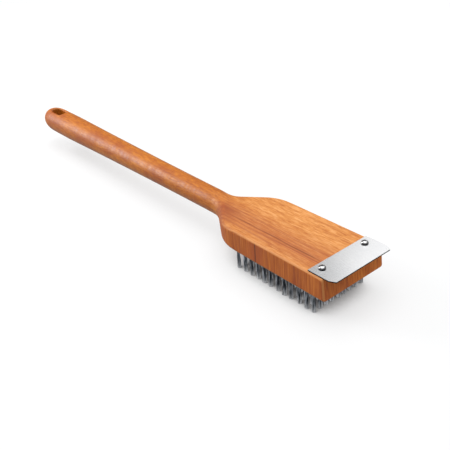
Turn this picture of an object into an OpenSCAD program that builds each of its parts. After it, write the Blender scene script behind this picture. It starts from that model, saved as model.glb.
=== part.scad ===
// Long-handled wooden wire brush with a steel scraper.
// Millimetres. The brush lies level on its bristle tips: +X points from the hanging end of the
// handle to the scraper, +Z up. The origin is on the floor, under the middle of its length.

/* [Handle] */
// Length of the whole brush, from the hanging end to the scraper's edge
brush_len = 537.5; // [500:0.5:570]
// Largest radius of the handle, where the hand holds it
grip_r = 15.4; // [13.5:0.1:17]
// Length of the handle from its hanging end to its largest radius
grip_back = 71; // [45:1:90]
// Radius of the handle where it meets the head
neck_r = 11.65; // [11:0.05:12.5]
// Height of the handle's axis above the middle of the head's thickness
handle_lift = 1; // [0:0.1:1.5]
// How late the handle swells towards the hand: 1 is a straight cone
swell = 1.58; // [1:0.01:2.5]
// Length of the rounded butt at the hanging end
butt_len = 30; // [20:1:40]
// Width of the hanging slot
slot_w = 12; // [6:0.5:14]
// Length of the hanging slot
slot_len = 28; // [14:0.5:32]
// Distance from the hanging end to the middle of the slot
slot_back = 34.5; // [24:0.5:40]

/* [Head] */
// Width of the head
head_w = 70; // [64:1:80]
// Thickness of the head
head_t = 21.4; // [19:0.1:23]
// Length of the head from the neck to its front face, along its top
head_len = 165.3; // [150:0.1:175]
// Angle between the shoulders and the length of the brush
shoulder_angle = 34; // [30:1:45]
// Radius of the hollow between handle and shoulder
hollow_r = 34; // [25:1:38]
// Radius of the rounded shoulder
shoulder_r = 35.5; // [28:0.5:38]
// Radius of the head's eased edges
edge_r = 2.5; // [1:0.1:4]
// How much further forward the front face reaches at its bottom than at its top
front_rake = 1.9; // [0:0.1:4]

/* [Bristles] */
// Rows of tufts along the head
rows = 12; // [8:1:12]
// Tufts in each row, across the head
tufts = 9; // [5:1:9]
// Distance between rows along the head
row_pitch = 8.31; // [7:0.01:8.6]
// Distance between the tufts of a row
tuft_pitch = 7.14; // [5.5:0.01:7.3]
// Distance from the front row to the scraper's edge
front_row_back = 25.8; // [22:0.1:32]
// Length of the bristles below the head
bristle_len = 20.6; // [15:0.1:28]
// Radius of a tuft where it leaves the wood
tuft_r = 1.5; // [1.2:0.05:1.7]
// Radius of a tuft at its spread tip
tip_r = 2.0; // [1.7:0.05:2.6]
// Depth of a tuft's blind hole
hole_depth = 12; // [9:0.5:14]

/* [Scraper] */
// Width of the scraper, across the brush
plate_w = 67.8; // [60:0.1:74]
// Length of the scraper, along the brush
plate_len = 26.8; // [22:0.1:32]
// Thickness of the scraper's sheet
plate_t = 1.0; // [0.8:0.1:2]
// Length of the corner cut along the scraper's side
cut_x = 5.5; // [2:0.1:8]
// Length of the corner cut along the scraper's edge
cut_y = 2.9; // [2:0.1:8]
// How far the scraper reaches past the top of the head's front face
overhang = 10.3; // [4:0.1:16]
// Distance from the scraper's rear edge to its screws
screw_back = 6.6; // [5:0.1:10]
// Distance between the two screws
screw_gap = 49.6; // [40:0.1:54]
// Radius of a screw's domed head
screw_head_r = 3.1; // [2.6:0.1:4]
// Height of a screw's domed head
screw_head_h = 2.7; // [2:0.1:3]
// Radius of a screw's shank
shank_r = 1.75; // [1.4:0.05:2]
// Length of a screw below its head
shank_len = 15; // [10:1:18]

/* [Hidden] */
function numbered(name, i) = str(name, "_", i < 10 ? "0" : "", i);

// Heights
head_bottom = bristle_len;
head_top = head_bottom + head_t;
mid_z = head_bottom + head_t / 2;
axis_z = mid_z + handle_lift;

// Places along the brush
butt_x = -brush_len / 2;
edge_x = brush_len / 2;
grip_x = butt_x + grip_back;
plate_x = edge_x - plate_len;
screw_x = plate_x + screw_back;
front_row_x = edge_x - front_row_back;
first_row_x = front_row_x - (rows - 1) * row_pitch;
front_x = edge_x - overhang;
neck_x = front_x - head_len;
slot_x = butt_x + slot_back;

// Clearances
hole_gap = 0.1;
pilot_gap = 0.05;
pilot_depth = shank_len - plate_t + 0.5;
plate_hole_gap = 0.25;

wood_colour = [0.80, 0.45, 0.20];
plate_colour = [0.83, 0.83, 0.82];
wire_colour = [0.45, 0.47, 0.49];
staple_colour = [0.70, 0.68, 0.60];
$fn = 48;

// ---- Handle -------------------------------------------------------------

butt_steps = 10;
taper_steps = 14;
// How far the handle runs into the head
neck_lap = 1;
// Radius of the handle at x, between the grip and the neck
function taper(x) = neck_r + (grip_r - neck_r) * pow((neck_x - x) / (neck_x - grip_x), swell);
// A point of the rounded butt, from its tip (0) to its full size (90): a superellipse
butt_power = 2.3;
function butt(a) = [
    grip_r * pow(1 - pow(cos(a), butt_power), 1 / butt_power),
    butt_x + butt_len * (1 - cos(a))
];

// Half outline of the handle as [radius, place along the brush]
function handle_outline() = concat(
    [for (i = [0 : butt_steps]) butt(90 * i / butt_steps)],
    [for (i = [0 : taper_steps])
        let (x = grip_x + (neck_x + neck_lap - grip_x) * i / taper_steps)
        [taper(min(x, neck_x)), x]],
    [[0, neck_x + neck_lap]]
);

module handle() {
    translate([0, 0, axis_z])
        rotate([0, 90, 0])
            rotate_extrude()
                polygon(handle_outline());
}

module hanging_slot() {
    end_x = (slot_len - slot_w) / 2;
    depth = 2 * grip_r + 4;
    translate([slot_x, 0, axis_z]) {
        for (side = [-1, 1])
            translate([side * end_x, 0, 0])
                cylinder(h = depth, d = slot_w, center = true);
        cube([2 * end_x, slot_w, depth], center = true);
    }
}

// ---- Head ---------------------------------------------------------------

arc_steps = 6;
corner_steps = 6;
// Just larger than the handle, so that the handle's end lies inside the head
neck_half = neck_r + 0.15;
hollow_end_y = neck_half + hollow_r * (1 - cos(shoulder_angle));
shoulder_start_y = head_w / 2 - shoulder_r * (1 - cos(shoulder_angle));
flank_len = (shoulder_start_y - hollow_end_y) / tan(shoulder_angle);
shoulder_x = neck_x + (hollow_r + shoulder_r) * sin(shoulder_angle) + flank_len;

// Half width of the head from the neck to the full shoulder, as [x, half width]
shoulder_outline = concat(
    [for (i = [0 : arc_steps])
        let (a = shoulder_angle * i / arc_steps)
        [neck_x + hollow_r * sin(a), neck_half + hollow_r * (1 - cos(a))]],
    [for (i = [arc_steps : -1 : 0])
        let (a = shoulder_angle * i / arc_steps)
        [shoulder_x - shoulder_r * sin(a), head_w / 2 - shoulder_r * (1 - cos(a))]]
);

// Lengths over which the round neck becomes the head's thickness, and its edges become tight
level_len = 24;
tighten_len = 68;
// Share of the way along a stretch that starts at the neck: 0 at its start, 1 from its end on
function blend(x, len) = let (t = min(1, max(0, (x - neck_x) / len))) t * t * (3 - 2 * t);
function mix(a, b, t) = a + (b - a) * t;

// One cross-section of the head: a rectangle with round corners, in the YZ plane at x,
// lifted by lift. rake leans it forward towards its bottom.
function section(x, half_w, half_t, r, lift, rake) = [
    for (q = [0 : 3], i = [0 : corner_steps])
        let (
            a = 90 * q + 90 * i / corner_steps,
            side_y = (q == 0 || q == 3) ? 1 : -1,
            side_z = (q < 2) ? 1 : -1,
            y = side_y * (half_w - r) + r * cos(a),
            z = side_z * (half_t - r) + r * sin(a)
        )
        [x + rake * (half_t - z) / (2 * half_t), y, mid_z + lift + z]
];

// The eased front edge, as [how far back from the front face, how far in from the sides]
easing_steps = 4;
front_easing = [
    for (i = [0 : easing_steps])
        let (a = 90 * i / easing_steps)
        [edge_r * (1 - sin(a)), edge_r * (1 - cos(a))]
];
// Corner radius left on the front face, inside its easing
face_corner_r = 0.3;

function neck_section(x, half_w) =
    let (
        level = blend(x, level_len),
        half_t = mix(neck_half, head_t / 2, level),
        r = mix(neck_half - 0.01, edge_r, blend(x, tighten_len))
    )
    section(x, half_w, half_t, min(r, half_t - 0.01), handle_lift * (1 - level), 0);

head_sections = concat(
    [for (p = shoulder_outline) neck_section(p[0], p[1])],
    [section(neck_x + tighten_len, head_w / 2, head_t / 2, edge_r, 0, 0)],
    [section(front_x - 3 * edge_r, head_w / 2, head_t / 2, edge_r, 0, 0)],
    [for (e = front_easing)
        section(front_x - e[0], head_w / 2 - e[1], head_t / 2 - e[1], edge_r - e[1] + face_corner_r, 0,
                front_rake)]
);

// A solid skinned over a list of sections that all have the same number of points
module skin(sections) {
    n = len(sections[0]);
    last = len(sections) - 1;
    sides = [for (s = [0 : last - 1], i = [0 : n - 1], half = [0, 1])
        let (a = s * n + i, b = s * n + (i + 1) % n)
        half == 0 ? [a, a + n, b] : [b, a + n, b + n]];
    rear_face = [for (i = [0 : n - 1]) i];
    front_face = [for (i = [n - 1 : -1 : 0]) last * n + i];
    polyhedron(points = [for (s = sections) each s], faces = concat(sides, [rear_face, front_face]));
}

module at_tufts(row) {
    for (j = [0 : tufts - 1])
        translate([first_row_x + (row - 1) * row_pitch, (j - (tufts - 1) / 2) * tuft_pitch, 0])
            children();
}

module at_screws() {
    for (side = [-1, 1])
        translate([screw_x, side * screw_gap / 2, 0])
            children();
}

module wood_block() {
    color(wood_colour)
    difference() {
        union() {
            handle();
            skin(head_sections);
        }
        hanging_slot();
        for (i = [1 : rows])
            at_tufts(i)
                translate([0, 0, head_bottom - 1])
                    cylinder(h = hole_depth + 1, r = tuft_r + hole_gap);
        at_screws()
            translate([0, 0, head_top - pilot_depth])
                cylinder(h = pilot_depth + 1, r = shank_r + pilot_gap);
    }
}

// ---- Scraper ------------------------------------------------------------

module scraper_plate() {
    half = plate_w / 2;
    color(plate_colour)
    translate([0, 0, head_top])
        difference() {
            linear_extrude(plate_t)
                polygon([
                    [plate_x, -half],
                    [edge_x - cut_x, -half],
                    [edge_x, cut_y - half],
                    [edge_x, half - cut_y],
                    [edge_x - cut_x, half],
                    [plate_x, half]
                ]);
            at_screws()
                translate([0, 0, -1])
                    cylinder(h = plate_t + 2, r = shank_r + plate_hole_gap);
        }
}

dome_steps = 8;
point_len = 4;
rim_h = 0.25 * screw_head_h;
recess_w = 0.9;
recess_len = 3.4;
recess_depth = 1.5;
recess_turn = 35;

// Half outline of a screw as [radius, height above the plate]
screw_outline = concat(
    [[0, -shank_len], [shank_r, point_len - shank_len], [shank_r, 0], [screw_head_r, 0]],
    [for (i = [0 : dome_steps])
        let (a = 90 * i / dome_steps)
        [screw_head_r * cos(a), rim_h + (screw_head_h - rim_h) * sin(a)]]
);

module screw() {
    difference() {
        rotate_extrude()
            polygon(screw_outline);
        for (turn = [recess_turn, recess_turn + 90])
            rotate([0, 0, turn])
                translate([-recess_len / 2, -recess_w / 2, screw_head_h - recess_depth])
                    cube([recess_len, recess_w, recess_depth + 1]);
    }
}

module scraper_screws() {
    color(plate_colour)
    translate([0, 0, head_top + plate_t])
        at_screws()
            screw();
}

// ---- Bristles -----------------------------------------------------------

staple_w = 0.6;
staple_h = 1.4;
staple_len = 2 * tuft_r;
hole_floor = head_bottom + hole_depth;

// A tuft of wire from its root in the wood to its spread tip on the floor,
// with the notch that the staple lies in
module tuft() {
    root_z = hole_floor - 0.2;
    difference() {
        rotate_extrude()
            polygon([[0, 0], [tip_r, 0], [tuft_r, head_bottom], [tuft_r, root_z], [0, root_z]]);
        translate([-staple_w / 2, -tip_r, hole_floor - staple_h])
            cube([staple_w, 2 * tip_r, staple_h + 1]);
    }
}

module staple() {
    translate([-staple_w / 2, -staple_len / 2, hole_floor - staple_h])
        cube([staple_w, staple_len, staple_h]);
}

module bristle_row(i) {
    color(wire_colour)
    at_tufts(i)
        tuft();
}

module staple_row(i) {
    color(staple_colour)
    at_tufts(i)
        staple();
}

wood_block();
scraper_plate();
scraper_screws();
for (i = [1 : rows]) {
    bristle_row(i);
    staple_row(i);
}
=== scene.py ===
"""A long-handled wooden wire brush with a steel scraper, standing on a pale studio floor.

Metres, in the frame of the CAD model: +X points from the hanging end of the handle to the
scraper, +Z is up, and the bristle tips stand on z = 0. The camera looks from the +X -Y side, so
-Y is the near side.
"""

import math
import random

import bmesh
import bpy
from mathutils import Matrix, Vector


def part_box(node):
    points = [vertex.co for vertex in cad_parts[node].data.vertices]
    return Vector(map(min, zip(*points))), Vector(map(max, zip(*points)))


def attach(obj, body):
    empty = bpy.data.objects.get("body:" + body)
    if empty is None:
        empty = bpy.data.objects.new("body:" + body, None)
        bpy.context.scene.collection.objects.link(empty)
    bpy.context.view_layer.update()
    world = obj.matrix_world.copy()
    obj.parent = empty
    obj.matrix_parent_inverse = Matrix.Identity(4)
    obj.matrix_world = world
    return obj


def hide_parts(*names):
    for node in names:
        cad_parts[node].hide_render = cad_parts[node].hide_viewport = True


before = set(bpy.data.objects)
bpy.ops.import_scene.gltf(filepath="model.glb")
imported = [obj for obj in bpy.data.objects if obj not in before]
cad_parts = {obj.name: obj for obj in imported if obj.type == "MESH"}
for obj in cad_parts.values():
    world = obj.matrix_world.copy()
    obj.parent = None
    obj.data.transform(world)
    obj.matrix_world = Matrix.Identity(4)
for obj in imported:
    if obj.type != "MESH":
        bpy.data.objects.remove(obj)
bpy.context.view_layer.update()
MM = 0.001

# ---- Sizes, from the CAD nodes ------------------------------------------------------------

wood_low, wood_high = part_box("wood_block")
plate_low, plate_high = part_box("scraper_plate")
screws_low, screws_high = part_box("scraper_screws")
first_row_low, first_row_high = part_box("bristle_row_01")
row_nodes = sorted(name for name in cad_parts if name.startswith("bristle_row"))
staple_nodes = sorted(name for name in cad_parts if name.startswith("staple_row"))

HEAD_TOP = plate_low.z
HEAD_T = 21.4 * MM
HEAD_BOTTOM = HEAD_TOP - HEAD_T
MID_Z = (HEAD_TOP + HEAD_BOTTOM) / 2
HALF_W = wood_high.y
FRONT_RAKE = 1.9 * MM
FRONT_X = wood_high.x - FRONT_RAKE
EDGE_R = 2.5 * MM

BUTT_X = wood_low.x
BUTT_LEN = 30 * MM
BUTT_POWER = 2.3
NECK_X = FRONT_X - 165.3 * MM
GRIP_X = BUTT_X + 71 * MM
AXIS_Z = MID_Z + 1 * MM
GRIP_R = wood_high.z - AXIS_Z
NECK_R = 11.65 * MM
SWELL_POWER = 1.58

# The outline of the head's back end: a hollow arc, a straight slope and a round shoulder
HOLLOW_R = 34 * MM
SHOULDER_R = 35.5 * MM
SLOPE = math.radians(34)
HOLLOW_END_Y = NECK_R + HOLLOW_R * (1 - math.cos(SLOPE))
SHOULDER_START_Y = HALF_W - SHOULDER_R * (1 - math.cos(SLOPE))
HOLLOW_END_X = NECK_X + HOLLOW_R * math.sin(SLOPE)
SHOULDER_START_X = HOLLOW_END_X + (SHOULDER_START_Y - HOLLOW_END_Y) / math.tan(SLOPE)
SHOULDER_X = SHOULDER_START_X + SHOULDER_R * math.sin(SLOPE)

SLOT_X = BUTT_X + 34.5 * MM
SLOT_W = 12 * MM
SLOT_LEN = 28 * MM

TUFTS_A_ROW = 9
TUFT_R = 1.5 * MM
TIP_R = (first_row_high.x - first_row_low.x) / 2
TUFT_PITCH = (first_row_high.y - first_row_low.y - 2 * TIP_R) / (TUFTS_A_ROW - 1)
WIRES = 50
WIRE_R = 0.19 * MM
WIRE_SIDES = 6
WIRE_STEPS = 8
BUNCH_R = 1.35 * MM

SCREW_HEAD_R = (screws_high.x - screws_low.x) / 2
SCREW_HEAD_H = screws_high.z - plate_high.z
SCREW_RIM_H = 0.25 * SCREW_HEAD_H
SCREW_X = (screws_high.x + screws_low.x) / 2
SCREW_Y = screws_high.y - SCREW_HEAD_R


# ---- Camera, at the photograph's angle ----------------------------------------------------

def place_camera():
    azimuth, elevation, roll = math.radians(53.0), math.radians(30.33), math.radians(-5.1)
    target = Vector((141.8, -33.4, 42.0)) * MM
    distance = 567.2 * MM
    back = Vector((math.sin(azimuth) * math.cos(elevation),
                   -math.cos(azimuth) * math.cos(elevation),
                   math.sin(elevation)))
    level = (-back).cross(Vector((0, 0, 1))).normalized()
    rise = level.cross(-back)
    right = math.cos(roll) * level + math.sin(roll) * rise
    up = math.cos(roll) * rise - math.sin(roll) * level
    data = bpy.data.cameras.new("camera")
    data.lens = 52.04
    data.sensor_width = 36
    data.clip_start = 0.01
    data.clip_end = 50
    camera = bpy.data.objects.new("camera", data)
    camera.matrix_world = (Matrix.Translation(target + distance * back)
                           @ Matrix((right, up, back)).transposed().to_4x4())
    bpy.context.collection.objects.link(camera)
    bpy.context.scene.camera = camera


place_camera()


# ---- Mesh helpers -------------------------------------------------------------------------

def add_object(name, mesh):
    piece = bpy.data.objects.new(name, mesh)
    bpy.context.collection.objects.link(piece)
    return piece


def mesh_from(name, points, faces):
    mesh = bpy.data.meshes.new(name)
    mesh.from_pydata([tuple(p) for p in points], [], faces)
    mesh.update()
    return mesh


def mesh_of(name, edit):
    """A mesh from a bmesh, which is freed."""
    mesh = bpy.data.meshes.new(name)
    edit.to_mesh(mesh)
    edit.free()
    return mesh


def ring_faces(rings, size):
    """The faces between neighbouring rings, each a run of size points."""
    faces = []
    for ring in range(rings - 1):
        low, high = ring * size, (ring + 1) * size
        for i in range(size):
            j = (i + 1) % size
            faces.append((low + i, low + j, high + j, high + i))
    return faces


def first_face(size):
    return tuple(range(size))[::-1]


def last_face(rings, size):
    return tuple(range((rings - 1) * size, rings * size))


def shade(mesh, sharp_angle):
    mesh.shade_smooth()
    mesh.set_sharp_from_angle(angle=math.radians(sharp_angle))


def flatten_faces(mesh, area):
    """Faces larger than area keep their own normal."""
    for face in mesh.polygons:
        if face.area > area:
            face.use_smooth = False


def smooth(t):
    t = min(1, max(0, t))
    return t * t * (3 - 2 * t)


def mix(a, b, t):
    return a + (b - a) * t


def cut(piece, cutter, crosses_itself=False):
    """Subtracts cutter from piece, and removes the cutter."""
    modifier = piece.modifiers.new("cut", "BOOLEAN")
    modifier.operation = "DIFFERENCE"
    modifier.solver = "EXACT"
    modifier.use_self = crosses_itself
    modifier.object = cutter
    evaluated = piece.evaluated_get(bpy.context.evaluated_depsgraph_get())
    result = bpy.data.meshes.new_from_object(evaluated)
    piece.modifiers.clear()
    piece.data = result
    bpy.data.objects.remove(cutter)


def finish_piece(piece, material, node):
    piece.data.materials.clear()
    piece.data.materials.append(material)
    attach(piece, "root")
    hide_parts(node)


# ---- Material helpers ---------------------------------------------------------------------

class NodeTree:
    """Short calls for building a node tree."""

    def __init__(self, tree):
        self.tree = tree

    def link(self, value, socket):
        if isinstance(value, bpy.types.NodeSocket):
            self.tree.links.new(value, socket)
        else:
            socket.default_value = value

    def add(self, kind, *inputs):
        node = self.tree.nodes.new(kind)
        for value, socket in zip(inputs, node.inputs):
            self.link(value, socket)
        return node

    def math(self, operation, *inputs, clamp=False):
        node = self.add("ShaderNodeMath", *inputs)
        node.operation = operation
        node.use_clamp = clamp
        return node.outputs[0]

    def product(self, first, *others):
        for value in others:
            first = self.math("MULTIPLY", first, value)
        return first

    def total(self, first, *others):
        for value in others:
            first = self.math("ADD", first, value)
        return first


class Material(NodeTree):
    """A material with a Principled shader, and the values its tree is built from."""

    def __init__(self, name):
        self.material = bpy.data.materials.new(name)
        self.material.use_nodes = True
        super().__init__(self.material.node_tree)
        self.shader = self.tree.nodes["Principled BSDF"]
        self.coordinates = self.add("ShaderNodeTexCoord").outputs["Object"]
        self.axes = self.add("ShaderNodeSeparateXYZ", self.coordinates).outputs
        facing = self.add("ShaderNodeNewGeometry").outputs["Normal"]
        self.normal = self.add("ShaderNodeSeparateXYZ", facing).outputs

    def set(self, **inputs):
        for name, value in inputs.items():
            self.link(value, self.shader.inputs[name.replace("_", " ")])

    def step(self, value, low, high, out_low=0, out_high=1):
        """out_low where value is below low, out_high above high, and smooth between."""
        node = self.add("ShaderNodeMapRange", value, low, high, out_low, out_high)
        node.interpolation_type = "SMOOTHSTEP"
        return node.outputs[0]

    def before(self, value, low, high):
        """1 where value is below low, 0 above high, and smooth between."""
        return self.step(value, low, high, 1, 0)

    def around(self, value, centre, near, far):
        """1 within near of centre, 0 beyond far, and smooth between."""
        distance = self.math("ABSOLUTE", self.math("SUBTRACT", value, centre))
        return self.before(distance, near, far)

    def noise(self, scale, detail=3, roughness=0.5, distortion=0, offset=(0, 0, 0)):
        """Noise with its own scale, in cycles a metre, along each axis."""
        mapping = self.add("ShaderNodeMapping", self.coordinates)
        mapping.inputs["Scale"].default_value = scale
        mapping.inputs["Location"].default_value = offset
        node = self.add("ShaderNodeTexNoise", mapping.outputs[0])
        node.inputs["Scale"].default_value = 1
        node.inputs["Detail"].default_value = detail
        node.inputs["Roughness"].default_value = roughness
        node.inputs["Distortion"].default_value = distortion
        return node.outputs["Fac"]

    def ramp(self, value, *stops):
        """A colour for each (place, colour) stop."""
        node = self.add("ShaderNodeValToRGB", value)
        elements = node.color_ramp.elements
        while len(elements) < len(stops):
            elements.new(0.5)
        for element, (place, colour) in zip(elements, stops):
            element.position = place
            element.color = (*colour, 1)
        return node.outputs["Color"]

    def blend(self, share, base, colour):
        """base where share is 0, and colour where it is 1."""
        node = self.tree.nodes.new("ShaderNodeMix")
        node.data_type = "RGBA"
        self.link(share, node.inputs[0])
        for socket, value in ((node.inputs[6], base), (node.inputs[7], colour)):
            self.link(value if isinstance(value, bpy.types.NodeSocket) else (*value, 1), socket)
        return node.outputs[2]

    def tint(self, base, share, strength, colour):
        """base, with strength of colour where share is 1."""
        return self.blend(self.product(share, strength), base, colour)

    def bump(self, height, strength, distance, normal=None):
        node = self.tree.nodes.new("ShaderNodeBump")
        node.inputs["Strength"].default_value = strength
        node.inputs["Distance"].default_value = distance
        self.link(height, node.inputs["Height"])
        if normal is not None:
            self.link(normal, node.inputs["Normal"])
        return node.outputs["Normal"]


# ---- Wood ---------------------------------------------------------------------------------

HEAD_TONES = ((0.40, (0.415, 0.122, 0.018)),
              (0.50, (0.570, 0.218, 0.046)),
              (0.60, (0.690, 0.318, 0.105)))
HANDLE_TONES = ((0.40, (0.310, 0.068, 0.002)),
                (0.50, (0.430, 0.120, 0.005)),
                (0.60, (0.530, 0.175, 0.013)))
SIDE_TONES = ((0.36, (0.310, 0.060, 0.005)),
              (0.50, (0.440, 0.106, 0.009)),
              (0.64, (0.560, 0.162, 0.020)))
FRONT_TONES = ((0.36, (0.480, 0.098, 0.006)),
               (0.50, (0.690, 0.172, 0.012)),
               (0.64, (0.800, 0.260, 0.032)))
RED_WOOD = (0.385, 0.098, 0.022)
RED_LINE = (0.260, 0.050, 0.013)
NECK_RED = (0.230, 0.036, 0.006)
HANDLE_RED = (0.270, 0.046, 0.010)
BUTT_RED = (0.240, 0.042, 0.006)
STREAK = (0.215, 0.048, 0.008)
MARK_RED = (0.370, 0.064, 0.014)
MARK = (0.10, 0.020, 0.006)
PAINTED_FRONT_SHADE = (0.20, 0.030, 0.004)
RUBBED_AND_HIGHLIGHT = (0.66, 0.280, 0.090)
PORE = (0.14, 0.035, 0.012)
UNDERSIDE_SHADE = (0.150, 0.030, 0.004)
STREAK_Y = -18 * MM
MARK_X = 182 * MM


def lengthwise_colour(wood, fibres):
    """The grain that runs along the brush: soft mottling, bands, flecks and fine fibres."""
    x, y = wood.axes["X"], wood.axes["Y"]
    mottle = wood.noise((30, 75, 75), detail=4, roughness=0.6, distortion=0.5)
    bands = wood.noise((10, 330, 190), distortion=0.3, offset=(3, 0, 0))
    flecks = wood.noise((110, 700, 700), detail=2, roughness=0.6, offset=(0, 5, 2))
    tone = wood.total(wood.product(mottle, 0.18), wood.product(bands, 0.14),
                      wood.product(flecks, 0.34), wood.product(fibres, 0.34))
    handle, head = wood.ramp(tone, *HANDLE_TONES), wood.ramp(tone, *HEAD_TONES)
    colour = wood.blend(wood.step(x, 80 * MM, 150 * MM), handle, head)

    # Redder wood on the near half of the head, with thin dark lines in it
    red = wood.product(wood.step(x, 95 * MM, 115 * MM), wood.before(y, -19 * MM, 12 * MM),
                       wood.step(y, -32 * MM, -20 * MM, 0.35, 1))
    colour = wood.tint(colour, red, 0.62, RED_WOOD)
    lines = wood.noise((9, 900, 60), roughness=0.6, distortion=0.2, offset=(1, 4, 0))
    lines = wood.product(wood.step(lines, 0.48, 0.60), red)
    colour = wood.tint(colour, lines, 0.65, RED_LINE)

    # Red flushes: at the neck, in patches along the near side of the handle, and at its end
    flush = wood.product(wood.step(x, 100 * MM, 114 * MM), wood.before(x, 122 * MM, 150 * MM),
                         wood.before(y, -12 * MM, -3 * MM))
    colour = wood.tint(colour, flush, 0.55, NECK_RED)
    patches = wood.noise((17, 30, 30), roughness=0.6, offset=(2, 0, 1))
    patches = wood.product(wood.step(patches, 0.48, 0.62), wood.before(x, 70 * MM, 90 * MM),
                           wood.before(y, -6 * MM, 1 * MM))
    colour = wood.tint(colour, patches, 0.5, HANDLE_RED)
    butt = wood.before(x, BUTT_X + 2 * MM, BUTT_X + 22 * MM)
    colour = wood.tint(colour, butt, 0.4, BUTT_RED)

    # One long dark streak on the head's top, which wavers and fades in places
    waver = wood.product(wood.math("SUBTRACT", wood.noise((28, 3, 3), detail=2), 0.5), 3.5 * MM)
    strength = wood.step(wood.noise((60, 400, 10), detail=2), 0.35, 0.55, 0.45, 1)
    streak = wood.product(wood.around(wood.total(y, waver), STREAK_Y, 0.3 * MM, 1.4 * MM),
                          wood.step(x, 125 * MM, 155 * MM), strength)
    return wood.tint(colour, streak, 0.9, STREAK)


def upright_colours(wood):
    """The sawn sides and the front face, with their fine upright figure."""
    fine = wood.noise((520, 520, 26), roughness=0.6)
    broad = wood.noise((70, 70, 8), detail=2, offset=(1, 2, 0))
    tone = wood.total(wood.product(fine, 0.7), wood.product(broad, 0.3))
    sides, front = wood.ramp(tone, *SIDE_TONES), wood.ramp(tone, *FRONT_TONES)

    # A dark upright mark, in redder wood
    x = wood.axes["X"]
    sides = wood.tint(sides, wood.around(x, MARK_X, 3 * MM, 16 * MM), 0.45, MARK_RED)
    sides = wood.tint(sides, wood.around(x, MARK_X, 0.3 * MM, 1.1 * MM), 0.8, MARK)
    return sides, front


def wood_material():
    wood = Material("oiled_hardwood")
    x, y = wood.axes["X"], wood.axes["Y"]
    facing_x, facing_y, facing_z = (wood.normal[axis] for axis in "XYZ")
    fibres = wood.noise((100, 950, 950), roughness=0.65)
    sides, front = upright_colours(wood)

    # The head's sides, and its front face, with painted shade darkening its near side
    sideways = wood.math("SUBTRACT", 1, wood.math("ABSOLUTE", facing_z))
    on_side = wood.product(wood.step(sideways, 0.45, 0.85), wood.step(x, 100 * MM, 130 * MM))
    colour = wood.blend(on_side, lengthwise_colour(wood, fibres), sides)
    on_front = wood.product(wood.step(facing_x, 0.75, 0.95), wood.step(x, 240 * MM, 250 * MM))
    colour = wood.blend(on_front, colour, front)
    painted_front_shade = wood.product(on_front, wood.before(y, -30 * MM, 10 * MM))
    colour = wood.tint(colour, painted_front_shade, 0.25, PAINTED_FRONT_SHADE)

    # Edges lighter: partly rubbed wood, partly a painted highlight
    turned = wood.math("ABSOLUTE", wood.product(facing_y, wood.total(facing_x, facing_z)))
    rubbed_and_highlight = wood.product(wood.step(turned, 0.25, 0.45), wood.step(x, 150 * MM, 180 * MM))
    colour = wood.tint(colour, rubbed_and_highlight, 0.6, RUBBED_AND_HIGHLIGHT)

    # Pores, short dark dashes along the grain, and painted shade on the underside
    pores = wood.step(wood.noise((90, 2600, 2600), detail=1), 0.66, 0.74)
    colour = wood.tint(colour, pores, 0.3, PORE)
    colour = wood.tint(colour, wood.before(facing_z, -0.85, 0.1), 0.42, UNDERSIDE_SHADE)

    # Fine marks across the grain, left by sanding, and a duller head
    across = wood.noise((330, 35, 35), detail=2, roughness=0.6)
    relief = wood.math("SUBTRACT", fibres, wood.product(pores, 0.8))
    gloss = wood.total(wood.step(across, 0.3, 0.7, 0.38, 0.52),
                       wood.step(x, 92 * MM, 110 * MM, 0, 0.16))
    wood.set(Base_Color=colour,
             Roughness=gloss,
             Specular_IOR_Level=0.4,
             Normal=wood.bump(across, 0.42, 0.4 * MM, wood.bump(relief, 0.25, 0.15 * MM)))
    return wood.material


def handle_radius(x):
    swell = (max(0, NECK_X - max(x, GRIP_X)) / (NECK_X - GRIP_X)) ** SWELL_POWER
    radius = mix(NECK_R, GRIP_R, swell)
    if x >= BUTT_X + BUTT_LEN:
        return radius
    to_tip = min(1, 1 - (x - BUTT_X) / BUTT_LEN)
    return radius * (1 - to_tip ** BUTT_POWER) ** (1 / BUTT_POWER)


def half_width(x):
    if x <= NECK_X:
        return handle_radius(x)
    if x < HOLLOW_END_X:
        return NECK_R + HOLLOW_R - math.sqrt(HOLLOW_R ** 2 - (x - NECK_X) ** 2)
    if x < SHOULDER_START_X:
        return HOLLOW_END_Y + (x - HOLLOW_END_X) * math.tan(SLOPE)
    if x < SHOULDER_X:
        return HALF_W - SHOULDER_R + math.sqrt(SHOULDER_R ** 2 - (SHOULDER_X - x) ** 2)
    return HALF_W


def quarter_section(half_w, half_t, corner_r):
    """One quarter of a rectangle with round corners, as (angle on an ellipse, y, z)."""
    side_steps, corner_steps, top_steps = 6, 10, 14
    corner_from, corner_to = 15, 75
    quarter = []
    for i in range(side_steps):
        t = i / side_steps
        quarter.append((corner_from * t, half_w, (half_t - corner_r) * t))
    for i in range(corner_steps):
        turn = math.radians(90 * i / corner_steps)
        quarter.append((corner_from + (corner_to - corner_from) * i / corner_steps,
                        half_w - corner_r + corner_r * math.cos(turn),
                        half_t - corner_r + corner_r * math.sin(turn)))
    for i in range(top_steps):
        t = i / top_steps
        quarter.append((corner_to + (90 - corner_to) * t, (half_w - corner_r) * (1 - t), half_t))
    return quarter


def section(x, half_w, half_t, corner_r, squareness, lift=0, rake=0):
    """A ring of points round the body at x, from an ellipse (0) to a rounded rectangle (1)."""
    quarter = quarter_section(half_w, half_t, corner_r)
    backwards = [(90, 0, half_t)] + quarter[:0:-1]
    points = []
    for side, top, corners in ((1, 1, quarter), (-1, 1, backwards),
                               (-1, -1, quarter), (1, -1, backwards)):
        for angle, square_y, square_z in corners:
            angle = math.radians(angle)
            y = side * mix(half_w * math.cos(angle), square_y, squareness)
            z = top * mix(half_t * math.sin(angle), square_z, squareness)
            points.append(Vector((x + rake * (half_t - z) / HEAD_T, y, MID_Z + lift + z)))
    return points


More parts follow.
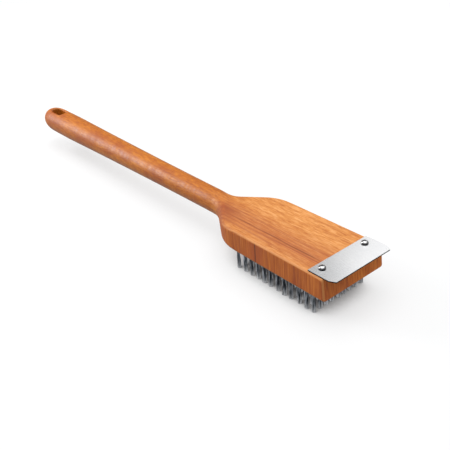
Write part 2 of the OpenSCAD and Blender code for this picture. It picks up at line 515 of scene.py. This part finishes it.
def body_sections():
    """Rings from the butt to the front face. The neck eases from round to flat."""
    butt_steps, easing_steps = 18, 7
    station = 2.5 * MM
    thin_start, thin_len = NECK_X - 10 * MM, 30 * MM
    flat_start, flat_len = NECK_X - 7 * MM, 29 * MM
    corner_start, corner_len = NECK_X - 4 * MM, 72 * MM
    spare_corner = 0.3 * MM
    sections = []
    for i in range(1, butt_steps + 1):
        x = BUTT_X + BUTT_LEN * (1 - math.cos(math.pi / 2 * i / butt_steps))
        r = handle_radius(x)
        sections.append(section(x, r, r, r, 0, AXIS_Z - MID_Z))

    start = BUTT_X + BUTT_LEN
    end = FRONT_X - 3 * EDGE_R
    count = round((end - start) / station)
    for i in range(1, count + 1):
        x = mix(start, end, i / count)
        half_w = half_width(x)
        thin = smooth((x - thin_start) / thin_len)
        half_t = mix(handle_radius(min(x, NECK_X)), HEAD_T / 2, thin)
        corner = mix(half_t, EDGE_R, smooth((x - corner_start) / corner_len))
        flat = smooth((x - flat_start) / flat_len)
        lift = mix(AXIS_Z - MID_Z, 0, thin)
        sections.append(section(x, half_w, half_t, min(corner, half_w), flat, lift))

    for i in range(easing_steps + 1):
        turn = math.pi / 2 * i / easing_steps
        inset = EDGE_R * (1 - math.cos(turn))
        x = FRONT_X - EDGE_R * (1 - math.sin(turn))
        sections.append(section(x, HALF_W - inset, HEAD_T / 2 - inset,
                                EDGE_R - inset + spare_corner, 1, 0, FRONT_RAKE))
    return sections


def body_mesh():
    sections = body_sections()
    size = len(sections[0])
    points = [point for ring in sections for point in ring]
    tip = len(points)
    points.append(Vector((BUTT_X, 0, MID_Z)))
    faces = ring_faces(len(sections), size)
    faces += [(tip, (i + 1) % size, i) for i in range(size)]
    faces.append(last_face(len(sections), size))
    mesh = mesh_from("wood_body", points, faces)
    edit = bmesh.new()
    edit.from_mesh(mesh)
    bmesh.ops.recalc_face_normals(edit, faces=edit.faces)
    edit.to_mesh(mesh)
    edit.free()
    return mesh


def slot_outline(grow):
    """The slot's outline, wider than the slot by grow on each side."""
    end_steps = 16
    r = SLOT_W / 2 + grow
    points = []
    for side in (1, -1):
        for i in range(end_steps + 1):
            turn = math.pi * i / end_steps - math.pi / 2
            x = SLOT_X + side * ((SLOT_LEN - SLOT_W) / 2 + r * math.cos(turn))
            points.append((x, side * r * math.sin(turn)))
    return points


def slot_cutter():
    """The hanging slot, opening out where it meets the handle's round surface."""
    ease_r, ease_angle, ease_steps = 2.8 * MM, math.radians(72), 7
    above_handle = 25 * MM

    def surface(x, y):
        return math.sqrt(max(0, handle_radius(x) ** 2 - y ** 2))

    upper = []
    for i in range(ease_steps + 1):
        turn = ease_angle * i / ease_steps
        depth = ease_r * (1 - math.sin(turn))
        outline = slot_outline(ease_r * (1 - math.cos(turn)))
        upper.append([Vector((x, y, surface(x, y) - depth)) for x, y in outline])
    upper.append([Vector((p.x, p.y, above_handle)) for p in upper[-1]])
    lower = [[Vector((p.x, p.y, -p.z)) for p in ring] for ring in reversed(upper)]
    rings = lower + upper
    size = len(rings[0])
    points = [p + Vector((0, 0, AXIS_Z)) for ring in rings for p in ring]
    faces = ring_faces(len(rings), size) + [first_face(size), last_face(len(rings), size)]
    return add_object("slot_cutter", mesh_from("slot_cutter", points, faces))


def tuft_places(node):
    """Where the tufts of a row meet the wood, with z left at 0."""
    low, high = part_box(node)
    x = (low.x + high.x) / 2
    return [Vector((x, (j - (TUFTS_A_ROW - 1) / 2) * TUFT_PITCH, 0)) for j in range(TUFTS_A_ROW)]


def tuft_hole_cutter():
    depth, below_wood = 4 * MM, 0.2 * MM
    mouth_r, floor_r = TUFT_R + 0.25 * MM, TUFT_R + 0.1 * MM
    middle = Vector((0, 0, HEAD_BOTTOM + depth / 2 - below_wood))
    cutter = bmesh.new()
    for node in row_nodes:
        for place in tuft_places(node):
            bmesh.ops.create_cone(cutter, cap_ends=True, segments=20, depth=depth,
                                  radius1=mouth_r, radius2=floor_r,
                                  matrix=Matrix.Translation(place + middle))
    return add_object("tuft_holes", mesh_of("tuft_holes", cutter))


def make_body():
    large_face = 60 * MM * MM
    body = add_object("wood_body", body_mesh())
    cut(body, slot_cutter())
    cut(body, tuft_hole_cutter())
    shade(body.data, 35)
    flatten_faces(body.data, large_face)
    finish_piece(body, wood_material(), "wood_block")


make_body()


# ---- Scraper ------------------------------------------------------------------------------

def sheet_material():
    """Rolled stainless steel with painted shade towards -Y, and cut edges painted near black as edge
    and shade.
    """
    sheet = Material("scraper_sheet")
    rolled = sheet.noise((60, 3200, 60), roughness=0.6)
    cloud = sheet.noise((35, 35, 35), detail=2)
    face = sheet.ramp(cloud, (0.35, (0.77, 0.775, 0.785)), (0.65, (0.80, 0.80, 0.805)))
    # Painted shade, darkening the steel's reflection towards -Y
    sheet_near_shade = sheet.before(sheet.axes["Y"], -34 * MM, 0)
    face = sheet.tint(face, sheet_near_shade, 0.16, (0.1, 0.1, 0.11))
    # Cut edges painted near black, for the edge itself and the shade under it
    cut_edge_and_shade = sheet.before(sheet.math("ABSOLUTE", sheet.normal["Z"]), 0.9, 0.99)
    sheet.set(Base_Color=sheet.blend(cut_edge_and_shade, face, (0.008, 0.008, 0.009)),
              Metallic=1,
              Roughness=sheet.step(rolled, 0.3, 0.7, 0.24, 0.28),
              Normal=sheet.bump(rolled, 0.03, 0.03 * MM))
    return sheet.material


def bevel_mesh(mesh, width, segments, sharper_than):
    """Bevels the edges that turn by more than an angle in degrees."""
    edit = bmesh.new()
    edit.from_mesh(mesh)
    limit = math.radians(sharper_than)
    edges = [e for e in edit.edges if len(e.link_faces) == 2 and e.calc_face_angle() > limit]
    bmesh.ops.bevel(edit, geom=edges, offset=width, segments=segments, profile=0.5,
                    affect="EDGES", clamp_overlap=True)
    edit.to_mesh(mesh)
    edit.free()


def make_plate():
    half = plate_high.y
    corner_x, corner_y = 5.5 * MM, 2.9 * MM
    outline = [(plate_low.x, -half), (plate_high.x - corner_x, -half),
               (plate_high.x, corner_y - half), (plate_high.x, half - corner_y),
               (plate_high.x - corner_x, half), (plate_low.x, half)]
    size = len(outline)
    points = [(x, y, z) for z in (plate_low.z, plate_high.z) for x, y in outline]
    faces = [first_face(size), last_face(2, size)] + ring_faces(2, size)
    mesh = mesh_from("scraper_sheet", points, faces)
    bevel_mesh(mesh, width=0.08 * MM, segments=2, sharper_than=30)
    mesh.shade_flat()
    plate = add_object("scraper_sheet", mesh)
    finish_piece(plate, sheet_material(), "scraper_plate")


make_plate()


# ---- Screws -------------------------------------------------------------------------------

def screw_material():
    """Nickel, bright on the dome, with painted shade in the recess and round the foot."""
    screw = Material("screw_nickel")
    wear = screw.noise((900, 900, 900), detail=2)
    nickel = screw.ramp(wear, (0.3, (0.40, 0.40, 0.41)), (0.7, (0.48, 0.48, 0.48)))

    # How far a point lies below the dome tells the recess from the dome
    from_x = screw.math("SUBTRACT", screw.axes["X"], SCREW_X)
    from_y = screw.math("SUBTRACT", screw.math("ABSOLUTE", screw.axes["Y"]), SCREW_Y)
    squared = screw.total(screw.product(from_x, from_x), screw.product(from_y, from_y))
    squared = screw.math("DIVIDE", squared, SCREW_HEAD_R ** 2)
    height = screw.math("SQRT", screw.math("MAXIMUM", screw.math("SUBTRACT", 1, squared), 0))
    dome = screw.total(screw.product(height, SCREW_HEAD_H - SCREW_RIM_H), plate_high.z + SCREW_RIM_H)
    below_dome = screw.math("SUBTRACT", dome, screw.axes["Z"])
    # Painted shade: near black in the recess, and dark round the foot
    recess = screw.product(screw.step(below_dome, 0.12 * MM, 0.25 * MM), 0.97)

    foot = screw.before(screw.axes["Z"], plate_high.z + 0.5 * MM, plate_high.z + 1.2 * MM)
    dark = screw.math("MAXIMUM", recess, screw.product(foot, 0.9))
    screw.set(Base_Color=screw.blend(dark, nickel, (0.025, 0.025, 0.027)),
              Metallic=1,
              Roughness=screw.step(wear, 0.3, 0.7, 0.12, 0.20))
    return screw.material


def screw_mesh():
    """A domed head, its seat at z = 0."""
    dome_steps, around = 14, 48
    seat_ease = 0.15 * MM
    outline = [(SCREW_HEAD_R - seat_ease, 0), (SCREW_HEAD_R, seat_ease)]
    for i in range(dome_steps):
        turn = math.pi / 2 * i / dome_steps
        outline.append((SCREW_HEAD_R * math.cos(turn),
                        SCREW_RIM_H + (SCREW_HEAD_H - SCREW_RIM_H) * math.sin(turn)))
    points = []
    for r, z in outline:
        for i in range(around):
            turn = 2 * math.pi * i / around
            points.append((r * math.cos(turn), r * math.sin(turn), z))
    top = len(points)
    points.append((0, 0, SCREW_HEAD_H))
    last = top - around
    faces = [first_face(around)] + ring_faces(len(outline), around)
    faces += [(last + i, last + (i + 1) % around, top) for i in range(around)]
    return mesh_from("screw_head", points, faces)


def recess_cutter(at, turn):
    """A cross that narrows towards its bottom."""
    half_wide, half_long, depth = 0.48 * MM, 2.0 * MM, 1.6 * MM
    bottom_share = 0.45
    cross = bmesh.new()
    for quarter_turn in (0, math.pi / 2):
        made = bmesh.ops.create_cube(cross, size=2)["verts"]
        for v in made:
            share = 1 if v.co.z > 0 else bottom_share
            v.co = Vector((v.co.x * half_long * share,
                           v.co.y * half_wide * share,
                           SCREW_HEAD_H + v.co.z * depth))
        bmesh.ops.rotate(cross, verts=made, cent=(0, 0, 0),
                         matrix=Matrix.Rotation(quarter_turn + turn, 3, "Z"))
    bmesh.ops.translate(cross, verts=cross.verts, vec=at)
    return add_object("recess", mesh_of("recess", cross))


def make_screws():
    joined = bmesh.new()
    for side, turn in ((-1, 35), (1, 62)):
        at = Vector((SCREW_X, side * SCREW_Y, plate_high.z))
        head = add_object("screw_head", screw_mesh())
        head.data.transform(Matrix.Translation(at))
        cut(head, recess_cutter(at, math.radians(turn)), crosses_itself=True)
        joined.from_mesh(head.data)
        bpy.data.objects.remove(head)
    screws = add_object("screw_heads", mesh_of("screw_heads", joined))
    shade(screws.data, 30)
    finish_piece(screws, screw_material(), "scraper_screws")


make_screws()


# ---- Bristles -----------------------------------------------------------------------------

def wire_material():
    """Steel wire, each wire with its own grey, with a painted highlight towards the tips and painted
    shade near the wood.
    """
    wire = Material("bristle_wire")
    each = wire.noise((900, 900, 60), detail=2)
    steel = wire.ramp(each,
                      (0.38, (0.02, 0.023, 0.028)),
                      (0.50, (0.17, 0.185, 0.21)),
                      (0.62, (0.65, 0.69, 0.74)))
    tips = wire.ramp(each, (0.38, (0.30, 0.31, 0.33)), (0.62, (0.92, 0.93, 0.95)))
    # A painted highlight towards the tips, and painted shade near the wood
    height = wire.step(wire.axes["Z"], 0.5 * MM, 8 * MM)
    wire.set(Base_Color=wire.blend(height, tips, steel),
             Metallic=1,
             Roughness=wire.step(each, 0.3, 0.7, 0.32, 0.5))
    return wire.material


def add_wire(points, faces, root, tip, crimp, phase, crimp_way):
    """A tube from root down to tip that leans out towards its tip and waves by crimp."""
    waves = 4.2 * math.pi
    start = len(points)
    for step in range(WIRE_STEPS + 1):
        t = step / WIRE_STEPS
        centre = root.lerp(tip, t ** 2)
        centre.z = mix(root.z, tip.z, t)
        centre += crimp * math.sin(phase + t * waves) * smooth(3 * t) * crimp_way
        for i in range(WIRE_SIDES):
            turn = 2 * math.pi * i / WIRE_SIDES
            points.append(centre + Vector((WIRE_R * math.cos(turn), WIRE_R * math.sin(turn), 0)))
    for step in range(WIRE_STEPS):
        for i in range(WIRE_SIDES):
            j = (i + 1) % WIRE_SIDES
            upper, lower = start + step * WIRE_SIDES, start + (step + 1) * WIRE_SIDES
            faces.append((upper + i, lower + i, lower + j, upper + j))
    end = start + WIRE_STEPS * WIRE_SIDES
    faces.append(tuple(start + i for i in range(WIRE_SIDES)))
    faces.append(tuple(end + i for i in reversed(range(WIRE_SIDES))))


def make_bristle_rows():
    chance = random.Random(7)
    material = wire_material()
    golden_angle = math.pi * (3 - math.sqrt(5))
    root_level = Vector((0, 0, HEAD_BOTTOM + 3 * MM))
    for node in row_nodes:
        points, faces = [], []
        for place in tuft_places(node):
            lean = Vector((chance.gauss(0, 0.35), chance.gauss(0, 0.35), 0)) * MM
            spin = chance.uniform(0, 2 * math.pi)
            for wire in range(WIRES):
                spread = math.sqrt((wire + 0.5) / WIRES)
                turn = wire * golden_angle + spin
                outward = Vector((math.cos(turn), math.sin(turn), 0))
                root = place + outward * spread * (BUNCH_R - WIRE_R) + root_level
                jitter = Vector((chance.gauss(0, 0.16), chance.gauss(0, 0.16), 0)) * MM
                tip = place + lean + jitter + outward * spread * (TIP_R - WIRE_R)
                tip.z = abs(chance.gauss(0, 0.25)) * MM
                crimp = chance.uniform(0.05, 0.16) * MM
                phase = chance.uniform(0, 2 * math.pi)
                crimp_way = Vector((math.cos(turn + 1), math.sin(turn + 1), 0))
                add_wire(points, faces, root, tip, crimp, phase, crimp_way)
        row = add_object("wire_" + node, mesh_from("wire_" + node, points, faces))
        shade(row.data, 60)
        finish_piece(row, material, node)


make_bristle_rows()


# ---- Staples, inside the wood -------------------------------------------------------------

def paint_staples():
    zinc = Material("staple_zinc")
    patch = zinc.noise((600, 600, 600))
    zinc.set(Base_Color=zinc.ramp(patch, (0.3, (0.42, 0.41, 0.38)), (0.7, (0.60, 0.59, 0.55))),
             Metallic=1,
             Roughness=zinc.step(patch, 0.3, 0.7, 0.35, 0.55))
    for node in staple_nodes:
        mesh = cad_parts[node].data
        mesh.materials.clear()
        mesh.materials.append(zinc.material)


paint_staples()


# ---- Floor and light ----------------------------------------------------------------------

FLOOR_HALF = 6
DOME_R = 5
OVERHEAD = 3.6
HORIZON = 0.6
HORIZON_DROP = 0.55
ROOM = 0.08
BOUNCE = 0.57


def hide_from_light(stage):
    """The camera sees the stage, but it throws no light or shade on the brush."""
    stage.visible_diffuse = False
    stage.visible_glossy = False
    stage.visible_transmission = False
    stage.visible_shadow = False


def make_floor():
    """A pale floor that takes the lamps' shadows, with a painted shadow close to the brush, where
    ambient occlusion dims its glow.
    """
    floor = Material("studio_floor")
    painted_contact_shadow = floor.add("ShaderNodeAmbientOcclusion")
    painted_contact_shadow.inputs["Distance"].default_value = 32 * MM
    floor.set(Base_Color=(0.26, 0.262, 0.265, 1),
              Roughness=0.9,
              Specular_IOR_Level=0.1,
              Emission_Color=(0.63, 0.63, 0.63, 1),
              Emission_Strength=floor.step(painted_contact_shadow.outputs["AO"], 0, 0.7))
    corners = [(x * FLOOR_HALF, y * FLOOR_HALF, 0) for x, y in ((-1, -1), (1, -1), (1, 1), (-1, 1))]
    mesh = mesh_from("floor", corners, [(0, 1, 2, 3)])
    mesh.materials.append(floor.material)
    ground = add_object("floor", mesh)
    hide_from_light(ground)


def make_backdrop():
    """A pale dome round everything."""
    pale = Material("studio_backdrop")
    pale.set(Base_Color=(0, 0, 0, 1),
             Specular_IOR_Level=0,
             Emission_Color=(0.93, 0.935, 0.94, 1),
             Emission_Strength=1)
    dome = bmesh.new()
    bmesh.ops.create_uvsphere(dome, u_segments=48, v_segments=24, radius=DOME_R)
    mesh = mesh_of("backdrop", dome)
    mesh.materials.append(pale.material)
    backdrop = add_object("backdrop", mesh)
    hide_from_light(backdrop)


def add_softbox(name, aim, azimuth, elevation, size, radiance):
    """A rectangular lamp that shines on aim from an azimuth and an elevation, in degrees."""
    distance = 1.2
    data = bpy.data.lights.new(name, "AREA")
    data.shape = "RECTANGLE"
    data.size, data.size_y = size
    data.energy = radiance * math.pi * size[0] * size[1]
    light = bpy.data.objects.new(name, data)
    azimuth, elevation = math.radians(azimuth), math.radians(elevation)
    away = Vector((math.cos(azimuth) * math.cos(elevation),
                   math.sin(azimuth) * math.cos(elevation),
                   math.sin(elevation)))
    light.location = Vector(aim) + distance * away
    light.rotation_euler = (-away).to_track_quat("-Z", "Y").to_euler()
    bpy.context.collection.objects.link(light)


def set_world():
    """Soft light from overhead and the horizon, darker towards +X -Y, and even from below."""
    world = bpy.data.worlds.new("studio")
    world.use_nodes = True
    sky = NodeTree(world.node_tree)
    background = sky.tree.nodes["Background"]
    background.inputs["Color"].default_value = (1, 1, 1, 1)
    direction = sky.add("ShaderNodeTexCoord").outputs["Generated"]
    x, y, z = sky.add("ShaderNodeSeparateXYZ", direction).outputs

    up = sky.math("MAXIMUM", z, 0)
    overhead = sky.product(sky.math("POWER", up, 4), OVERHEAD)
    dark_side = sky.math("SUBTRACT", sky.product(x, 0.8), sky.product(y, 0.6))
    dark_share = sky.math("MULTIPLY", sky.total(dark_side, 0.2), 1.2, clamp=True)
    horizon = sky.math("SUBTRACT", HORIZON, sky.product(dark_share, HORIZON_DROP))
    near_horizon = sky.math("SUBTRACT", 1, sky.product(up, 3.5), clamp=True)
    low_light = sky.total(sky.product(horizon, sky.math("POWER", near_horizon, 2)), ROOM)
    below = sky.math("LESS_THAN", z, 0)
    above = sky.product(sky.total(overhead, low_light), sky.math("SUBTRACT", 1, below))
    sky.link(sky.total(above, sky.product(below, BOUNCE)), background.inputs["Strength"])
    bpy.context.scene.world = world


make_floor()
make_backdrop()
set_world()
add_softbox("left_softbox", (0, 0, 0.04), azimuth=214, elevation=22, size=(0.5, 0.7), radiance=9)
add_softbox("rear_softbox", (0.2, 0, 0.04), azimuth=104, elevation=35, size=(0.9, 0.5), radiance=0.9)
bpy.context.scene.view_settings.view_transform = "Standard"
